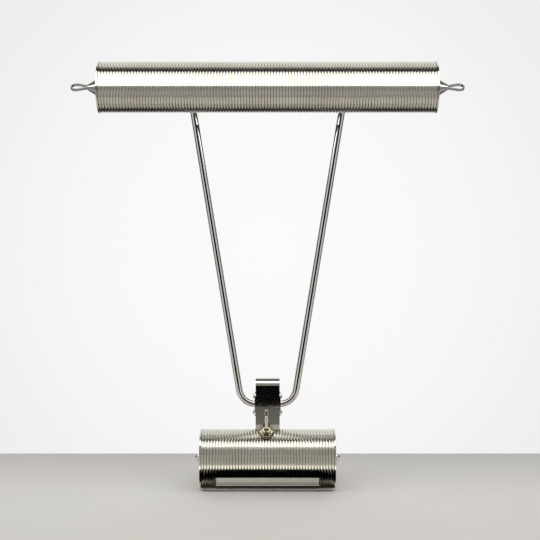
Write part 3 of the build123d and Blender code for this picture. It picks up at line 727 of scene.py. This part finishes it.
def whole_angle(tree, across, ahead, least):
    """The angle of a direction from ahead towards across, from its least to half a turn, as 0 to 1."""
    angle = calculate(tree, "ARCTAN2", across, ahead)
    turn = put(tree, "ShaderNodeMapRange", values={"From Min": least, "From Max": math.pi})
    join(tree, angle, "Value", turn, "Value")
    return turn


def mask(tree, source, output, limits, first=0.0, last=1.0):
    """A smooth step from first to last between two limits of an output."""
    values = {"From Min": limits[0], "From Max": limits[1], "To Min": first, "To Max": last}
    step = put(tree, "ShaderNodeMapRange", {"interpolation_type": "SMOOTHSTEP"}, values)
    join(tree, source, output, step, "Value")
    return step


def background(tree, source, output):
    """A background of full strength with the colour of an output."""
    node = tree.nodes.new("ShaderNodeBackground")
    join(tree, source, output, node, "Color")
    return node


def studio_world():
    """A pale backdrop for the camera, and round the lamp a room with darker walls in front."""
    world = bpy.data.worlds.new("studio")
    bpy.context.scene.world = world
    world.use_nodes = True
    tree = world.node_tree
    tree.nodes.clear()
    place = tree.nodes.new("ShaderNodeTexCoord")
    split = tree.nodes.new("ShaderNodeSeparateXYZ")
    join(tree, place, "Generated", split, "Vector")
    ahead = calculate(tree, "MULTIPLY", (split, "Y"), -1.0)
    sideways = calculate(tree, "ABSOLUTE", (split, "X"))

    around_x = whole_angle(tree, (split, "Z"), (ahead, "Value"), -math.pi)
    wall_stops = [((degrees + HALF_TURN) / WHOLE_TURN, tone) for degrees, tone in WALL_ZONES]
    walls = ramp(tree, around_x, "Result", wall_stops)
    around_z = whole_angle(tree, (sideways, "Value"), (ahead, "Value"), 0.0)
    side_stops = [(degrees / HALF_TURN, tone) for degrees, tone in SIDE_ZONES]
    side_walls = ramp(tree, around_z, "Result", side_stops)

    aside = mask(tree, sideways, "Value", ASIDE)
    far_aside = mask(tree, sideways, "Value", FAR_ASIDE)
    level = mask(tree, split, "Z", LEVEL, first=1.0, last=0.0)
    low_aside = calculate(tree, "MULTIPLY", (aside, "Result"), (level, "Result"))
    any_aside = calculate(tree, "MAXIMUM", (low_aside, "Value"), (far_aside, "Result"))
    around = put(tree, "ShaderNodeMix", {"data_type": "RGBA"})
    join(tree, any_aside, "Value", around, "Factor")
    join(tree, walls, "Color", around, "A")
    join(tree, side_walls, "Color", around, "B")
    room = background(tree, around, "Result")

    middle = put(tree, "ShaderNodeVectorMath", {"operation": "DISTANCE"}, {1: BACKDROP_MIDDLE})
    join(tree, place, "Generated", middle, 0)
    backdrop = background(tree, ramp(tree, middle, "Value", BACKDROP_STOPS), "Color")

    rays = tree.nodes.new("ShaderNodeLightPath")
    seen = calculate(tree, "MAXIMUM", (rays, "Is Camera Ray"), (rays, "Is Transmission Ray"))
    choice = tree.nodes.new("ShaderNodeMixShader")
    join(tree, seen, "Value", choice, 0)
    join(tree, room, "Background", choice, 1)
    join(tree, backdrop, "Background", choice, 2)
    output = tree.nodes.new("ShaderNodeOutputWorld")
    join(tree, choice, "Shader", output, "Surface")


def softbox(name, low_edge, high_edge, length, power):
    """A long softbox along X between two edges given as (y, z), lighting back towards the lamp."""
    low, high = Vector((0, *low_edge)), Vector((0, *high_edge))
    lamp = bpy.data.lights.new(name, "AREA")
    lamp.shape = "RECTANGLE"
    lamp.size = length
    lamp.size_y = (high - low).length
    lamp.energy = power
    box = new_object(name, lamp)
    box.location = (low + high) / 2
    facing = Vector((1, 0, 0)).cross((high - low).normalized())
    box.rotation_euler = facing.to_track_quat("Z", "Y").to_euler()
    box.visible_camera = False


studio_world()
softbox("front_softbox", SOFTBOX_LOW, SOFTBOX_HIGH, SOFTBOX_LENGTH, SOFTBOX_POWER)


# Reflection cards

PALE_CARD_STOPS = [
    (0.0, (1.0, 0.99, 0.94)),
    (0.29, (1.0, 0.99, 0.94)),
    (0.35, (0.33, 0.325, 0.295)),
    (1.0, (0.29, 0.28, 0.25)),
]
DARK_CARD_STOPS = [(0.0, 0.0), (1.0, 0.0)]
TOP_CARD_STOPS = [(0.0, 0.05), (1.0, 0.05)]
STRAP_CARD_STOPS = [(0.0, (0.17, 0.17, 0.155)), (1.0, (0.13, 0.132, 0.125))]


def upright(y, half, low, high_left, high_right):
    """Corners of a card that stands in front of the lamp and faces back to it."""
    return [(half, y, low), (-half, y, low), (-half, y, high_left), (half, y, high_right)]


def lying(z, start, end):
    """Corners of a level card that faces up where its start is the front edge, and else down."""
    return [(-CARD_HALF, start, z), (CARD_HALF, start, z), (CARD_HALF, end, z), (-CARD_HALF, end, z)]


def reflection_card(name, corners, stops, strength=1.0):
    """A one-sided card that only shows in the polished metal.

    The stops colour it from its low edge (0) to its high edge (1).
    """
    material = bpy.data.materials.new(name)
    material.use_nodes = True
    tree = material.node_tree
    tree.nodes.clear()
    place = tree.nodes.new("ShaderNodeTexCoord")
    split = tree.nodes.new("ShaderNodeSeparateXYZ")
    join(tree, place, "Generated", split, "Vector")
    shade = ramp(tree, split, "Z", stops)
    glow = put(tree, "ShaderNodeEmission", values={"Strength": strength})
    join(tree, shade, "Color", glow, "Color")
    clear = tree.nodes.new("ShaderNodeBsdfTransparent")
    facing = tree.nodes.new("ShaderNodeNewGeometry")
    one_sided = tree.nodes.new("ShaderNodeMixShader")
    join(tree, facing, "Backfacing", one_sided, 0)
    join(tree, glow, "Emission", one_sided, 1)
    join(tree, clear, "BSDF", one_sided, 2)
    output = tree.nodes.new("ShaderNodeOutputMaterial")
    join(tree, one_sided, "Shader", output, "Surface")
    card = add_piece(name, corners, [(0, 1, 2, 3)], material)
    card.visible_camera = False
    card.visible_diffuse = False
    card.visible_shadow = False
    card.visible_transmission = False


pale_corners = upright(PALE_CARD_Y, CARD_HALF, PALE_CARD_LOW, PALE_CARD_HIGH, PALE_CARD_HIGH)
dark_corners = lying(DARK_CARD_Z, DARK_CARD_FRONT, DARK_CARD_BACK)
top_corners = lying(TOP_CARD_Z, TOP_CARD_BACK, TOP_CARD_FRONT)
strap_corners = upright(
    STRAP_CARD_Y, STRAP_CARD_HALF, STRAP_CARD_LOW, STRAP_CARD_HIGH_LEFT, STRAP_CARD_HIGH_RIGHT
)
# The pale card paints a bright reflected band on the drum; the dark, top and strap cards paint dark
# reflections on the drum and the strap
reflection_card("pale_card", pale_corners, PALE_CARD_STOPS, PALE_CARD_STRENGTH)
reflection_card("dark_card", dark_corners, DARK_CARD_STOPS)
reflection_card("top_card", top_corners, TOP_CARD_STOPS)
reflection_card("strap_card", strap_corners, STRAP_CARD_STOPS)


# Camera


def make_camera():
    """The camera of the photograph, in front of the lamp and tipped a little down."""
    data = bpy.data.cameras.new("camera")
    data.sensor_width = SENSOR
    data.lens = SENSOR * CAMERA_FOCUS / PHOTO_SIDE
    data.shift_y = SHIFT_UP
    camera = new_object("camera", data)
    camera.location = (CAMERA_SIDE, -CAMERA_DISTANCE, CAMERA_HEIGHT)
    camera.rotation_euler = (RIGHT_ANGLE - CAMERA_PITCH, 0, 0)
    bpy.context.scene.camera = camera


make_camera()
bpy.context.scene.view_settings.view_transform = "Standard"
